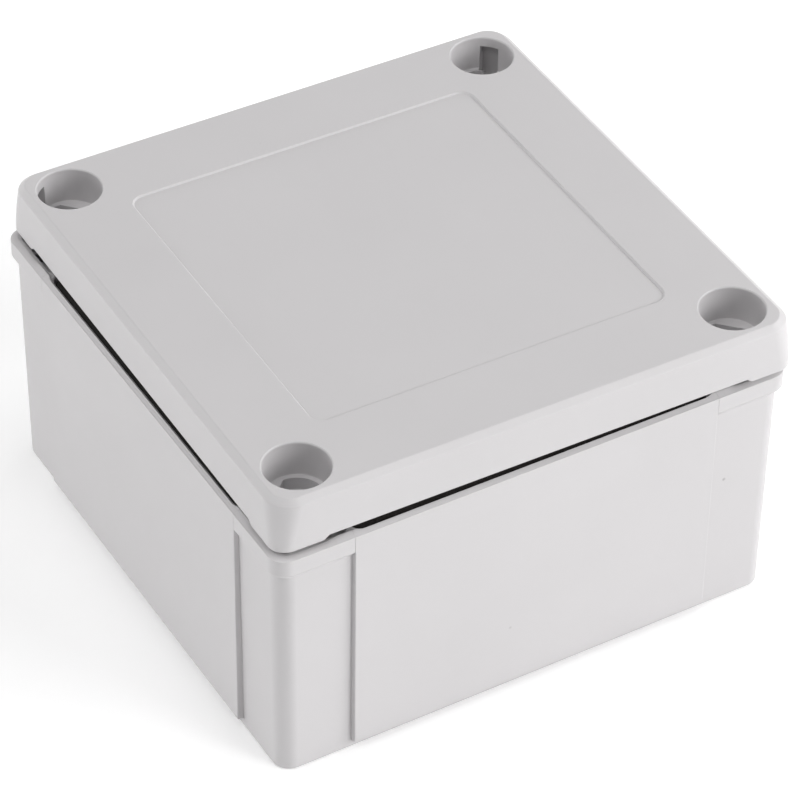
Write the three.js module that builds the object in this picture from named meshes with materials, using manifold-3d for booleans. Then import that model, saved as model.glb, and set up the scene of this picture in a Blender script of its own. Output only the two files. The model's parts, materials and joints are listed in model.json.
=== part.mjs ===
// Electrical junction box, 130 x 130 mm: a moulded base and a lid held by four quarter-turn screws, with
// a rail and five spring terminals inside. Millimetres, +Z up, origin at the middle of the back face, which
// goes on the wall. The lid stands a little above its closed height, slightly shifted and turned, as it does
// when it is only laid on.
import * as THREE from 'three';
import { mergeVertices } from 'three/addons/utils/BufferGeometryUtils.js';
import Module from 'manifold-3d';

const wasm = await Module();
wasm.setup();

// ---- Driving dimensions ----
const GAP = 0.3;               // clearance between pieces that touch

// Base: half widths are measured from the centre line of the box
const COLLAR = 65.0;           // half width over the collar and the wall panels
const COLUMN_FOOT = 63.6;      // half width of the corner columns at the back face
const COLUMN_TOP = 63.9;       // the same under the collar (mould draft)
const CORNER_R = 4.2;          // outer corner radius of the columns
const COLLAR_R = 4.1;          // outer corner radius of the collar
const RIM_Z = 63.6;            // flat top of the rim
const COLLAR_Z = 59.2;         // lower edge of the collar
const COLLAR_SLOPE = 1.5;      // height of the slope from column to collar
const PANEL_HALF = 46.0;       // half length of a raised wall panel
const PANEL_FOOT = 2.1;        // height at which the panels start
const FOOT_EDGE = 0.3;         // rounding of the edge round the back face
const FLOOR = 2.6;             // thickness of the floor
const INSIDE = 61.2;           // half width of the inside
const INSIDE_R = 3.0;
const LEDGE_Z = 56.6;          // underside of the ledge that carries the sealing groove

// Sealing groove: it runs along the walls and turns inwards round each corner pocket
const GROOVE_OUT = 63.3;       // its outer wall, which is also the inner edge of the rim
const GROOVE_END = 45.2;       // its outer wall where it passes a corner pocket
const GROOVE_W = 6.5;
const GROOVE_R = 2.6;          // corner radius of its outer wall at the pockets
const GROOVE_Z = 59.6;         // floor of the groove
const LEDGE_RIB = 1.3;         // wall between the groove and the inside
const GASKET_TOP = 62.8;
const POCKET = 46.2;           // inner edge of the corner pockets
const POCKET_OUT = 62.45;      // and their outer edge
const POCKET_R = 1.5;
const SHELF_Z = 62.1;          // floor of the corner pockets

// Corner posts, with the catch for the lid screw above the hole for the wall screw
const SCREW_XY = 54.4;         // distance of the lid screws from both centre lines
const POST_R = 9.1;
const RECESS_R = 8.0;
const CATCH_TOP = 60.6;        // catch plate
const CATCH_BOTTOM = 57.6;
const CATCH_HALF_W = 4.3;      // half width and half length of the slot in it
const CATCH_HALF_L = 6.8;
const TURN_R = 7.8;            // room for the cross pin to turn
const TURN_BOTTOM = 48.0;
const WALL_SCREW_R = 2.4;
const WALL_SCREW_HEAD_R = 4.2;
const WALL_SCREW_SEAT = 5.0;

// Lid, measured down from its top face
const LID_TOP = 78.2;          // height of the top face as the lid lies on the base
const LID_SHIFT = [1.32, 0.24];
const LID_TURN = -0.0113;      // radians about Z
const LID_HALF = 65.0;
const LID_FACE = 63.3;         // half width of the top face inside the bevel
const LID_BEVEL = 1.75;
const LID_R = 6.3;             // corner radius under the bevel
const LID_FACE_R = 4.6;        // corner radius of the top face
const LID_FOOT_R = 4.0;        // corner radius at the lower edge
const LID_PLATE = 2.6;
const SKIRT_WALL = 2.2;
const SKIRT_MID = -11.9;       // lower edge along the sides
const SKIRT_CORNER = -12.9;    // lower edge at the corners
const SKIRT_STEP = 53.5;       // where the one steps down to the other
const LABEL_HALF = 44.5;
const LABEL_DEPTH = 0.4;
const TONGUE_W = 1.4;
const BORE_R = 7.5;            // counterbores over the lid screws
const BORE_FLOOR_R = 7.25;
const BORE_DEPTH = -8.8;
const BORE_PLATE = 1.5;
const SLEEVE_R = 9.1;
const WINDOW_W = 4.6;          // window in the counterbore's wall, towards the corner
const WINDOW_TOP = -2.55;
const OPENING_R = 6.15;        // opening in the counterbore's floor: round, with two flats along the diagonal
const OPENING_HALF_W = 4.4;
const OPENING_FLOOR = -12.0;
const OPENING_WALL = 1.25;
const OPENING_RING = 0.9;      // thickness of the ring under the opening
const SEAT_SLEEVE_R = 5.6;     // lower sleeve, which carries the screw
const SEAT_BORE_R = 4.3;
const SEAT_TOP = -14.4;
const SEAT_BOTTOM = -15.6;
const SEAT_HOLE_R = 2.4;

// Quarter-turn lid screws and their cross pins
const HEAD_R = 3.8;
const HEAD_TOP = -11.5;
const SHANK_R = 2.0;
const PIN_R = 1.2;
const PIN_HALF = 5.2;

// Rail, terminals and brackets
const RAIL_HALF_L = 50.0;
const RAIL_SEAT = 11.0;        // underside of the rail
const RAIL_H = 7.5;
const RAIL_T = 1.0;
const RAIL_SCREW_X = 37.5;
const BOSS_R = 5.5;
const TERMINAL_PITCH = 6.2;
const TERMINAL_WALL = 1.2;
const COVER_T = 1.5;
const BRACKET_W = 7.8;
const TERMINALS = ['line_1', 'line_2', 'line_3', 'neutral', 'earth'];

// ---- Materials ----
function finish(color, roughness, metalness = 0) {
  return new THREE.MeshStandardMaterial({ color, roughness, metalness });
}

const greyPlastic = () => finish(0xcbccca, 0.5);
const foamRubber = () => finish(0x1d1d1c, 0.9);
const terminalPlastic = { line: 0x9fa19e, neutral: 0x2f6fb5, earth: 0x5f9f3a };
const endPlastic = () => finish(0x8f918f, 0.5);
const platedSteel = () => finish(0xbfc3c6, 0.35, 1);
const springSteel = () => finish(0xa9adb0, 0.3, 1);
const tinnedCopper = () => finish(0xc8c3b6, 0.35, 1);

// ---- Solids ----
function solid(geometry) {
  const bare = geometry.clone();
  bare.deleteAttribute('normal');
  bare.deleteAttribute('uv');
  const merged = mergeVertices(bare, 1e-4);
  const mesh = new wasm.Mesh({
    numProp: 3,
    vertProperties: new Float32Array(merged.attributes.position.array),
    triVerts: new Uint32Array(merged.index.array),
  });
  return new wasm.Manifold(mesh);
}

function unite(solids) {
  return solids.reduce((sum, next) => sum.add(next));
}

function cut(body, tools) {
  return tools.reduce((rest, tool) => rest.subtract(tool), body);
}

function piece(name, body, material) {
  const { numProp, vertProperties, triVerts } = body.getMesh();
  const positions = [];
  for (let i = 0; i < vertProperties.length; i += numProp) {
    positions.push(vertProperties[i], vertProperties[i + 1], vertProperties[i + 2]);
  }
  const geometry = new THREE.BufferGeometry();
  geometry.setAttribute('position', new THREE.Float32BufferAttribute(positions, 3));
  geometry.setIndex(Array.from(triVerts));
  geometry.computeVertexNormals();
  const mesh = new THREE.Mesh(geometry, material);
  mesh.name = name;
  return mesh;
}

// A stack of rounded squares, each [z, half width, corner radius], closed at both ends
function loft(rings, steps = 5) {
  const positions = [];
  const index = [];
  const count = 4 * (steps + 1);
  for (const [z, half, radius] of rings) {
    for (let corner = 0; corner < 4; corner += 1) {
      const middle = Math.PI / 4 + corner * Math.PI / 2;
      const cx = Math.sign(Math.cos(middle)) * (half - radius);
      const cy = Math.sign(Math.sin(middle)) * (half - radius);
      for (let i = 0; i <= steps; i += 1) {
        const angle = (corner + i / steps) * Math.PI / 2;
        positions.push(cx + radius * Math.cos(angle), cy + radius * Math.sin(angle), z);
      }
    }
  }
  for (let ring = 0; ring + 1 < rings.length; ring += 1) {
    for (let i = 0; i < count; i += 1) {
      const a = ring * count + i;
      const b = ring * count + (i + 1) % count;
      index.push(a, b, b + count, a, b + count, a + count);
    }
  }
  const last = (rings.length - 1) * count;
  const low = positions.length / 3;
  positions.push(0, 0, rings[0][0], 0, 0, rings[rings.length - 1][0]);
  for (let i = 0; i < count; i += 1) {
    const next = (i + 1) % count;
    index.push(low, next, i, low + 1, last + i, last + next);
  }
  const geometry = new THREE.BufferGeometry();
  geometry.setAttribute('position', new THREE.Float32BufferAttribute(positions, 3));
  geometry.setIndex(index);
  return solid(geometry);
}

function box(x0, x1, y0, y1, z0, z1) {
  const geometry = new THREE.BoxGeometry(x1 - x0, y1 - y0, z1 - z0);
  return solid(geometry.translate((x0 + x1) / 2, (y0 + y1) / 2, (z0 + z1) / 2));
}

// An upright cylinder or cone round (x, y)
function round(x, y, z0, z1, radiusLow, radiusHigh = radiusLow, sides = 28) {
  const geometry = new THREE.CylinderGeometry(radiusHigh, radiusLow, z1 - z0, sides);
  return solid(geometry.rotateX(Math.PI / 2).translate(x, y, (z0 + z1) / 2));
}

function outline(points) {
  return new THREE.Shape(points.map(([x, y]) => new THREE.Vector2(x, y)));
}

// Upright prism over an outline in X and Y
function prism(points, z0, z1) {
  const options = { depth: z1 - z0, bevelEnabled: false };
  return solid(new THREE.ExtrudeGeometry(outline(points), options).translate(0, 0, z0));
}

// Prism along X over an outline in Y and Z
function prismX(points, x0, x1) {
  const geometry = new THREE.ExtrudeGeometry(outline(points), { depth: x1 - x0, bevelEnabled: false });
  const toX = new THREE.Matrix4().set(0, 0, 1, x0, 1, 0, 0, 0, 0, 1, 0, 0, 0, 0, 0, 1);
  return solid(geometry.applyMatrix4(toX));
}

// The four corners of the box: signs of x and y, and the heading of the corner
const CORNERS = [
  { name: 'front_left', sx: -1, sy: -1 },
  { name: 'front_right', sx: 1, sy: -1 },
  { name: 'back_right', sx: 1, sy: 1 },
  { name: 'back_left', sx: -1, sy: 1 },
].map((corner) => ({ ...corner, heading: Math.atan2(corner.sy, corner.sx) }));

// Places a solid made round the origin at a corner's screw, with its +X towards the corner
function atCorner(body, corner) {
  return body.rotate([0, 0, THREE.MathUtils.radToDeg(corner.heading)])
    .translate([corner.sx * SCREW_XY, corner.sy * SCREW_XY, 0]);
}

// Repeats a solid made on the +X side at the four sides
function atSides(body) {
  return [0, 90, 180, 270].map((angle) => body.rotate([0, 0, angle]));
}

// ---- Outline of the seal: a square whose corners step inwards round the pockets ----
function roundCorners(points, radii, steps = 4) {
  const rounded = [];
  points.forEach((point, i) => {
    const here = new THREE.Vector2(...point);
    const before = new THREE.Vector2(...points.at(i - 1)).sub(here).normalize();
    const after = new THREE.Vector2(...points[(i + 1) % points.length]).sub(here).normalize();
    const radius = radii[i];
    const centre = here.clone().addScaledVector(before, radius).addScaledVector(after, radius);
    for (let k = 0; k <= steps; k += 1) {
      const angle = k / steps * Math.PI / 2;
      rounded.push([
        centre.x - radius * (after.x * Math.cos(angle) + before.x * Math.sin(angle)),
        centre.y - radius * (after.y * Math.cos(angle) + before.y * Math.sin(angle)),
      ]);
    }
  });
  return rounded;
}

// far: half width at the walls; near: half width at the pockets; convex and concave: corner radii
function sealOutline(far, near, convex, concave) {
  const points = [];
  const radii = [];
  for (let quarter = 0; quarter < 4; quarter += 1) {
    const angle = quarter * Math.PI / 2;
    for (const [x, y, radius] of [[far, near, convex], [near, near, concave], [near, far, convex]]) {
      points.push([
        Math.round(Math.cos(angle)) * x - Math.round(Math.sin(angle)) * y,
        Math.round(Math.sin(angle)) * x + Math.round(Math.cos(angle)) * y,
      ]);
      radii.push(radius);
    }
  }
  return roundCorners(points, radii);
}

// A band that follows the groove, inset by a margin on both sides
function sealBand(margin, z0, z1) {
  const outer = sealOutline(GROOVE_OUT - margin, GROOVE_END - margin, GROOVE_R - margin * 0.5, 1.2 + margin);
  const inner = sealOutline(GROOVE_OUT - GROOVE_W + margin, GROOVE_END - GROOVE_W + margin,
    0.7 + margin, 3 - margin * 0.6);
  return prism(outer, z0, z1).subtract(prism(inner, z0 - 1, z1 + 1));
}

// ---- Base ----
function makeBase() {
  const shell = loft([
    [0, COLUMN_FOOT - FOOT_EDGE, CORNER_R - FOOT_EDGE], [FOOT_EDGE, COLUMN_FOOT, CORNER_R],
    [COLLAR_Z - COLLAR_SLOPE, COLUMN_TOP, CORNER_R], [COLLAR_Z, COLLAR, COLLAR_R],
    [RIM_Z - GAP, COLLAR, COLLAR_R], [RIM_Z, COLLAR - GAP, COLLAR_R - GAP],
  ]);
  const panel = box(COLLAR - 5, COLLAR, -PANEL_HALF, PANEL_HALF, PANEL_FOOT, COLLAR_Z + 1);
  const posts = CORNERS.map((corner) => atCorner(round(0, 0, 0, LEDGE_Z, POST_R), corner));
  const well = loft([[FLOOR, INSIDE - 0.3, INSIDE_R], [LEDGE_Z, INSIDE, INSIDE_R]]);
  const mouthEdge = GROOVE_OUT - GROOVE_W - LEDGE_RIB;
  const mouthEnd = GROOVE_END - GROOVE_W - LEDGE_RIB;
  const mouth = prism(sealOutline(mouthEdge, mouthEnd, 1, 4), LEDGE_Z - 1, RIM_Z + 1);
  const groove = sealBand(0, GROOVE_Z, RIM_Z + 1);
  const body = cut(unite([shell, ...atSides(panel)]), [cut(well, posts), mouth, groove]);

  const middle = (POCKET + POCKET_OUT) / 2;
  const half = (POCKET_OUT - POCKET) / 2;
  const pocket = loft([[SHELF_Z, half, POCKET_R], [RIM_Z + 1, half, POCKET_R]]);
  const slot = prism(roundCorners([
    [-CATCH_HALF_L, -CATCH_HALF_W], [CATCH_HALF_L, -CATCH_HALF_W],
    [CATCH_HALF_L, CATCH_HALF_W], [-CATCH_HALF_L, CATCH_HALF_W],
  ], [1, 1, 1, 1], 2), CATCH_BOTTOM - 1, CATCH_TOP + 1);
  const screwWay = unite([
    round(0, 0, CATCH_TOP, RIM_Z + 1, RECESS_R), slot,
    round(0, 0, TURN_BOTTOM, CATCH_BOTTOM, TURN_R),
    round(0, 0, WALL_SCREW_SEAT, TURN_BOTTOM + 1, WALL_SCREW_HEAD_R, WALL_SCREW_HEAD_R, 20),
    round(0, 0, -1, WALL_SCREW_SEAT + 1, WALL_SCREW_R, WALL_SCREW_R, 20),
  ]);
  const cornerCuts = CORNERS.flatMap((corner) => [
    pocket.translate([corner.sx * middle, corner.sy * middle, 0]),
    atCorner(screwWay, corner),
  ]);
  const bosses = [-1, 1].map((side) => {
    const boss = round(side * RAIL_SCREW_X, 0, FLOOR - 1, RAIL_SEAT - GAP, BOSS_R + 0.6, BOSS_R, 24);
    return boss.subtract(round(side * RAIL_SCREW_X, 0, FLOOR + 0.6, RAIL_SEAT, 2.1, 2.1, 16));
  });
  return cut(body, cornerCuts).add(unite(bosses));
}

// ---- Lid, made with its top face at z = 0 and its middle at the origin ----
// The opening under a counterbore, grown by a margin
function opening(margin, z0, z1) {
  const reach = OPENING_R + margin;
  const flats = box(-reach - 1, reach + 1, -OPENING_HALF_W - margin, OPENING_HALF_W + margin, z0, z1);
  return round(0, 0, z0, z1, reach, reach, 36).intersect(flats);
}

function makeLid() {
  const shell = loft([
    [SKIRT_CORNER, LID_HALF, LID_FOOT_R], [-LID_BEVEL, LID_HALF, LID_R], [0, LID_FACE, LID_FACE_R],
  ]);
  const hollow = loft([
    [SKIRT_CORNER - 1, LID_HALF - SKIRT_WALL, LID_FOOT_R - 1],
    [-LID_PLATE, LID_HALF - SKIRT_WALL - 0.2, LID_R - 2],
  ]);
  const rise = SKIRT_MID - SKIRT_CORNER;
  const gapUnderSkirt = prismX([
    [-SKIRT_STEP - 1, SKIRT_CORNER - 1], [SKIRT_STEP + 1, SKIRT_CORNER - 1],
    [SKIRT_STEP, SKIRT_CORNER], [SKIRT_STEP - rise, SKIRT_MID],
    [-SKIRT_STEP + rise, SKIRT_MID], [-SKIRT_STEP, SKIRT_CORNER],
  ], LID_HALF - SKIRT_WALL - 2, LID_HALF + 2);
  const sleeves = CORNERS.map((corner) => atCorner(unite([
    round(0, 0, BORE_DEPTH - BORE_PLATE, -1, SLEEVE_R, SLEEVE_R, 36),
    opening(OPENING_WALL, OPENING_FLOOR - OPENING_RING, BORE_DEPTH - 1),
    round(0, 0, SEAT_BOTTOM, OPENING_FLOOR, SEAT_SLEEVE_R),
  ]), corner).intersect(loft([[SEAT_BOTTOM, LID_HALF - 1, LID_R - 1], [-1, LID_HALF - 1, LID_R - 1]])));
  const tongue = sealBand((GROOVE_W - TONGUE_W) / 2, GASKET_TOP + GAP - LID_TOP, -LID_PLATE + 0.5);
  const label = loft([
    [-LABEL_DEPTH, LABEL_HALF - 0.5, 3], [0, LABEL_HALF, 3.5], [1, LABEL_HALF + 1, 4.5],
  ]);
  const boreSteps = [
    round(0, 0, BORE_DEPTH, 0, BORE_FLOOR_R, BORE_R, 36), round(0, 0, -0.5, 1, BORE_R - 0.3, BORE_R + 1, 36),
    opening(0, OPENING_FLOOR, BORE_DEPTH + 1),
    box(3, 10.2, -WINDOW_W / 2, WINDOW_W / 2, BORE_DEPTH, WINDOW_TOP),
    round(0, 0, SEAT_TOP, OPENING_FLOOR + 1, SEAT_BORE_R),
    round(0, 0, SEAT_BOTTOM - 1, SEAT_TOP + 1, SEAT_HOLE_R),
  ];
  const bores = CORNERS.map((corner) => atCorner(unite(boreSteps), corner));
  const body = cut(shell, [hollow, ...atSides(gapUnderSkirt), label]);
  return cut(unite([body, tongue, ...sleeves]), bores);
}

// ---- Lid screws, made round the origin in the lid's heights, with the cross pin along X ----
function makeLidScrew() {
  const headBottom = SEAT_TOP + GAP;
  const pinZ = CATCH_BOTTOM - GAP - PIN_R - LID_TOP;
  const tip = pinZ - PIN_R - 1;
  const profile = [
    [0, tip], [SHANK_R - 0.5, tip], [SHANK_R, tip + 0.5], [SHANK_R, headBottom],
    [HEAD_R, headBottom], [HEAD_R, HEAD_TOP - 0.4], [HEAD_R - 0.4, HEAD_TOP], [0, HEAD_TOP],
  ].map(([r, z]) => new THREE.Vector2(r, z));
  const turned = solid(new THREE.LatheGeometry(profile, 24).rotateX(Math.PI / 2));
  const pinHole = solid(new THREE.CylinderGeometry(PIN_R + GAP, PIN_R + GAP, 3 * SHANK_R, 16)
    .rotateZ(Math.PI / 2).translate(0, 0, pinZ));
  const slit = box(-2.3, 2.3, -0.5, 0.5, HEAD_TOP - 1.3, HEAD_TOP + 1);
  const drive = [0, 90].map((angle) => slit.rotate([0, 0, angle]));
  return cut(turned, [pinHole, ...drive]);
}

function makeScrewPin() {
  const pinZ = CATCH_BOTTOM - GAP - PIN_R - LID_TOP;
  const geometry = new THREE.CylinderGeometry(PIN_R, PIN_R, 2 * PIN_HALF, 16);
  return solid(geometry.rotateZ(Math.PI / 2).translate(0, 0, pinZ));
}

// ---- Rail ----
function makeRail() {
  const top = RAIL_SEAT + RAIL_H;
  const half = [
    [12.5 + RAIL_T, RAIL_SEAT], [12.5 + RAIL_T, top - RAIL_T], [17.5, top - RAIL_T], [17.5, top],
    [12.5, top], [12.5, RAIL_SEAT + RAIL_T],
  ];
  const section = [...half, ...half.map(([y, z]) => [-y, z]).reverse()];
  const slots = [-1.5, -0.5, 0.5, 1.5].map((step) => {
    const x = step * 2 * RAIL_SCREW_X / 3;
    return prism(roundCorners([[x - 7.5, -3.1], [x + 7.5, -3.1], [x + 7.5, 3.1], [x - 7.5, 3.1]],
      [3, 3, 3, 3], 4), RAIL_SEAT - 1, RAIL_SEAT + RAIL_T + 1);
  });
  return cut(prismX(section, -RAIL_HALF_L, RAIL_HALF_L), slots);
}

function makeRailScrew(x) {
  const seat = RAIL_SEAT + RAIL_T + GAP;
  const profile = [
    [0, FLOOR + 1.5], [1.2, FLOOR + 1.5], [1.75, FLOOR + 2.5], [1.75, seat], [4.4, seat],
    [4.4, seat + 0.9], [3.4, seat + 2.2], [1.6, seat + 2.8], [0, seat + 2.8],
  ].map(([r, z]) => new THREE.Vector2(r, z));
  const turned = solid(new THREE.LatheGeometry(profile, 20).rotateX(Math.PI / 2));
  const drive = [0, 90].map((angle) => box(-2.4, 2.4, -0.5, 0.5, seat + 1.2, seat + 4).rotate([0, 0, angle]));
  return cut(turned, drive).translate([x, 0, 0]);
}

// ---- Terminals: housings open on their +X side, each closed by the next one and the last by a cover ----
const RAIL_TOP = RAIL_SEAT + RAIL_H;
const FOOT = [
  [17.8, RAIL_TOP + GAP], [17.8, RAIL_TOP - RAIL_T - GAP], [16.3, RAIL_TOP - RAIL_T - GAP],
  [16.3, RAIL_TOP - 2.9], [19.8, RAIL_TOP - 3.3], [20.8, RAIL_TOP - 2.0],
];

function mirrored(half) {
  return [...half, ...half.map(([y, z]) => [-y, z]).reverse()];
}

function housingHead(inset) {
  return [
    [20.8 - inset, 24], [23 - inset, 26.5], [23 - inset, 42 - inset / 2],
    [18.5 - inset / 2, 47.5 - inset], [10, 50 - inset], [7.5, 53 - inset],
  ];
}

function makeHousing(x) {
  const x1 = x + TERMINAL_PITCH - GAP;
  const body = prismX(mirrored([...FOOT, ...housingHead(0)]), x, x1);
  const channel = box(x + TERMINAL_WALL, x1 + 1, -18, 18, 24, 28);
  const clamps = [-1, 1].flatMap((side) => {
    const [near, far] = [side * 4.5, side * 19].sort((a, b) => a - b);
    const wireWay = solid(new THREE.CylinderGeometry(1.9, 1.9, 16, 16).rotateX(side * Math.PI / 4.6)
      .translate(x + 3.5, side * 18.4, 42.6));
    const toolWay = box(x + 2.2, x + 4.8, side * 10 - 0.8, side * 10 + 0.8, 40, 54);
    return [box(x + TERMINAL_WALL, x1 + 1, near, far, 24, 42), wireWay, toolWay];
  });
  return cut(body, [channel, ...clamps]);
}

function makeCurrentBar(x) {
  const half = [[17.4, 24.4], [17.4, 25.6], [3.5, 25.6], [3.0, 26.6]];
  return prismX(mirrored(half), x + TERMINAL_WALL + 0.4, x + TERMINAL_PITCH - 0.7);
}

// A bent strip of constant thickness along a path of points in Y and Z
function strip(path, thickness) {
  const points = path.map(([y, z]) => new THREE.Vector2(y, z));
  const sides = [1, -1].map((side) => points.map((point, i) => {
    const before = points[Math.max(i - 1, 0)];
    const after = points[Math.min(i + 1, points.length - 1)];
    const along = after.clone().sub(before).normalize();
    return [point.x - side * along.y * thickness / 2, point.y + side * along.x * thickness / 2];
  }));
  return [...sides[0], ...sides[1].reverse()];
}

function makeClampSpring(x, side) {
  const path = [
    [16.5, 26.3], [6.2, 26.3], [5.4, 27.4], [5.6, 37.5],
    [7.2, 39.6], [9.6, 39.6], [11.4, 37.6], [15.4, 28.4],
  ];
  const points = strip(path, 0.5).map(([y, z]) => [side * y, z]);
  return prismX(side > 0 ? points : points.reverse(), x + TERMINAL_WALL + 0.5, x + TERMINAL_PITCH - 0.8);
}

function makeEndCover(x) {
  return prismX(mirrored([[20.6, RAIL_TOP + 2], ...housingHead(0.3)]), x, x + COVER_T);
}

function makeEndBracket(x) {
  const half = [...FOOT, [20.8, 27], [17.5, 33], [9, 36.5], [8, 39], [0.9, 39], [0.9, 33]];
  return prismX(mirrored(half), x, x + BRACKET_W);
}

// ---- Assembly ----
const box130 = new THREE.Group();
const lidGroup = new THREE.Group();
lidGroup.position.set(LID_SHIFT[0], LID_SHIFT[1], LID_TOP);
lidGroup.rotation.z = LID_TURN;
box130.add(lidGroup);

box130.add(piece('enclosure_base', makeBase(), greyPlastic()));
box130.add(piece('lid_gasket', sealBand(GAP, GROOVE_Z + GAP, GASKET_TOP), foamRubber()));
lidGroup.add(piece('lid', makeLid(), greyPlastic()));
for (const corner of CORNERS) {
  lidGroup.add(piece(`lid_screw_${corner.name}`, atCorner(makeLidScrew(), corner), platedSteel()));
  lidGroup.add(piece(`screw_pin_${corner.name}`, atCorner(makeScrewPin(), corner), springSteel()));
}

box130.add(piece('din_rail', makeRail(), platedSteel()));
box130.add(piece('rail_screw_left', makeRailScrew(-RAIL_SCREW_X), platedSteel()));
box130.add(piece('rail_screw_right', makeRailScrew(RAIL_SCREW_X), platedSteel()));

const stackWidth = TERMINALS.length * TERMINAL_PITCH + COVER_T;
TERMINALS.forEach((name, i) => {
  const x = i * TERMINAL_PITCH - stackWidth / 2;
  const colour = terminalPlastic[name.split('_')[0]];
  box130.add(piece(`terminal_${name}`, makeHousing(x), finish(colour, 0.5)));
  box130.add(piece(`current_bar_${name}`, makeCurrentBar(x), tinnedCopper()));
  box130.add(piece(`clamp_spring_${name}_front`, makeClampSpring(x, -1), springSteel()));
  box130.add(piece(`clamp_spring_${name}_back`, makeClampSpring(x, 1), springSteel()));
});
box130.add(piece('terminal_end_cover', makeEndCover(stackWidth / 2 - COVER_T), endPlastic()));
box130.add(piece('end_bracket_left', makeEndBracket(-stackWidth / 2 - GAP - BRACKET_W), endPlastic()));
box130.add(piece('end_bracket_right', makeEndBracket(stackWidth / 2 + GAP), endPlastic()));

export default box130;
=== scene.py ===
"""Looks of the electrical junction box: fine shells, fittings, materials, floor, light and camera.

Lengths are in millimetres in the build code and become metres when a mesh is made.
"""

import json
import math

import bmesh
import bpy
from mathutils import Matrix, Vector


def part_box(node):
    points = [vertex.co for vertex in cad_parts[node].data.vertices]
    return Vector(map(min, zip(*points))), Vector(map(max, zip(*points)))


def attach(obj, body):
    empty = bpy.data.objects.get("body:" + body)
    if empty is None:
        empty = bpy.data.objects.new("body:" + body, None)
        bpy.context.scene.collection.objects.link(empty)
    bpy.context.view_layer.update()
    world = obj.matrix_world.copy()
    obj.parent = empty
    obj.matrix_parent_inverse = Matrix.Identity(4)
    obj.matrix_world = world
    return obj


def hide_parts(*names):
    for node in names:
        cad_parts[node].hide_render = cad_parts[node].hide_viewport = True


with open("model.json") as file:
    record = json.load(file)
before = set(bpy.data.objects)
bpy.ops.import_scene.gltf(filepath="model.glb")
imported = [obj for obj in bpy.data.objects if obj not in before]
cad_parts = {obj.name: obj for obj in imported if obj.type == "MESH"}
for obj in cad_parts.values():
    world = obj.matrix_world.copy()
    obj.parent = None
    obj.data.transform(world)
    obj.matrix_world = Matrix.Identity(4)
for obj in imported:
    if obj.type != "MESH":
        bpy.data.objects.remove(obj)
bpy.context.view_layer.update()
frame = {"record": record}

MM = 0.001
JOINTS = {joint["name"]: joint for joint in frame["record"]["behaviour"]["joints"]}


# ---- Places and sizes taken from the frame ----
def box_mm(node):
    low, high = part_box(node)
    return [v / MM for v in low], [v / MM for v in high]


base_high = box_mm("enclosure_base")[1]
lid_high = box_mm("lid")[1]
gasket_low, gasket_high = box_mm("lid_gasket")

COLLAR = base_high[0]            # half width over collar and panels
RIM_Z = base_high[2]
LID_TOP = lid_high[2]
CORNERS = {"front_left": (-1, -1), "front_right": (1, -1), "back_right": (1, 1), "back_left": (-1, 1)}
screw_places = {
    name: [v / MM for v in JOINTS["screw_turn_" + name]["pos_m"]] for name in CORNERS
}
LID_SHIFT = [sum(place[i] for place in screw_places.values()) / 4 for i in (0, 1)]
screw_row = [screw_places["front_right"][i] - screw_places["front_left"][i] for i in (0, 1)]
LID_TURN = math.atan2(screw_row[1], screw_row[0])
SCREW_XY = math.hypot(*screw_row) / 2

# ---- Proportions that the boxes don't give ----
# Base, in heights over the floor
COLUMN_FOOT = COLLAR - 1.4       # half width of the corner columns at the floor
COLUMN_TOP = COLLAR - 1.1        # and under the collar
COLUMN_R = 4.2
COLLAR_R = 4.1
COLLAR_Z = RIM_Z - 4.4
SLOPE_Z = COLLAR_Z - 1.5         # the column leans out to the collar between here and COLLAR_Z
PANEL_HALF = 46.0                # half length of a raised wall panel
PANEL_FOOT = 2.1
WELL_HALF = 61.2                 # half width of the inside
WELL_TOP = 56.6
POST_R = 9.1                     # corner posts
CATCH_LOW = 57.6                 # underside of the plate that holds a locked screw's pin
CATCH_TOP = 60.6
SLOT_HALF = (6.8, 4.3)           # the way for the pin through the catch plate
TURN_R = 7.8                     # room in which the pin turns
WALL_SCREW_R = 2.4
WALL_SCREW_HEAD_R = 4.2
WALL_SCREW_SEAT = 5.0
RAIL_SCREW_X = 37.5
# Seal groove and the pocket at each corner
GROOVE_OUT = gasket_high[0] + 0.2
GROOVE_END = 45.2
GROOVE_R = 2.6
GROOVE_W = 6.5
GROOVE_Z = gasket_low[2] - 0.3
POCKET = 46.2
POCKET_OUT = 62.4
# Lid, in heights over its top face
LID_HALF = 65.0
LID_EDGE = 64.78                 # half width at the lower edge of the bevel
LID_FACE = 63.2                  # and at its upper edge
LID_BEVEL = 1.35
SKIRT_WALL = 2.2
SKIRT_MID = -12.0
SKIRT_CORNER = -13.0
SKIRT_STEP = 53.5                # where the lower edge steps up between the corners
TONGUE_W = 1.4
LABEL_HALF = 44.68
BORE_R = 7.5                     # counterbore
BORE_DEPTH = -8.8
SLEEVE_R = 9.1
OPENING_R = 6.15                 # opening in the counterbore's floor, and its two flats
OPENING_FLAT = 4.4
SEAT_Z = -14.4                   # where the screw's head rests
WINDOW_REACH = 10.2              # window in the counterbore's wall
WINDOW_HALF = 2.3
WINDOW_TOP = -2.55


# ---- Mesh building ----
def add_object(name, points, faces):
    mesh = bpy.data.meshes.new(name)
    mesh.from_pydata([[c * MM for c in p] for p in points], [], faces)
    mesh.validate()
    obj = bpy.data.objects.new(name, mesh)
    bpy.context.scene.collection.objects.link(obj)
    return obj


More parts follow.
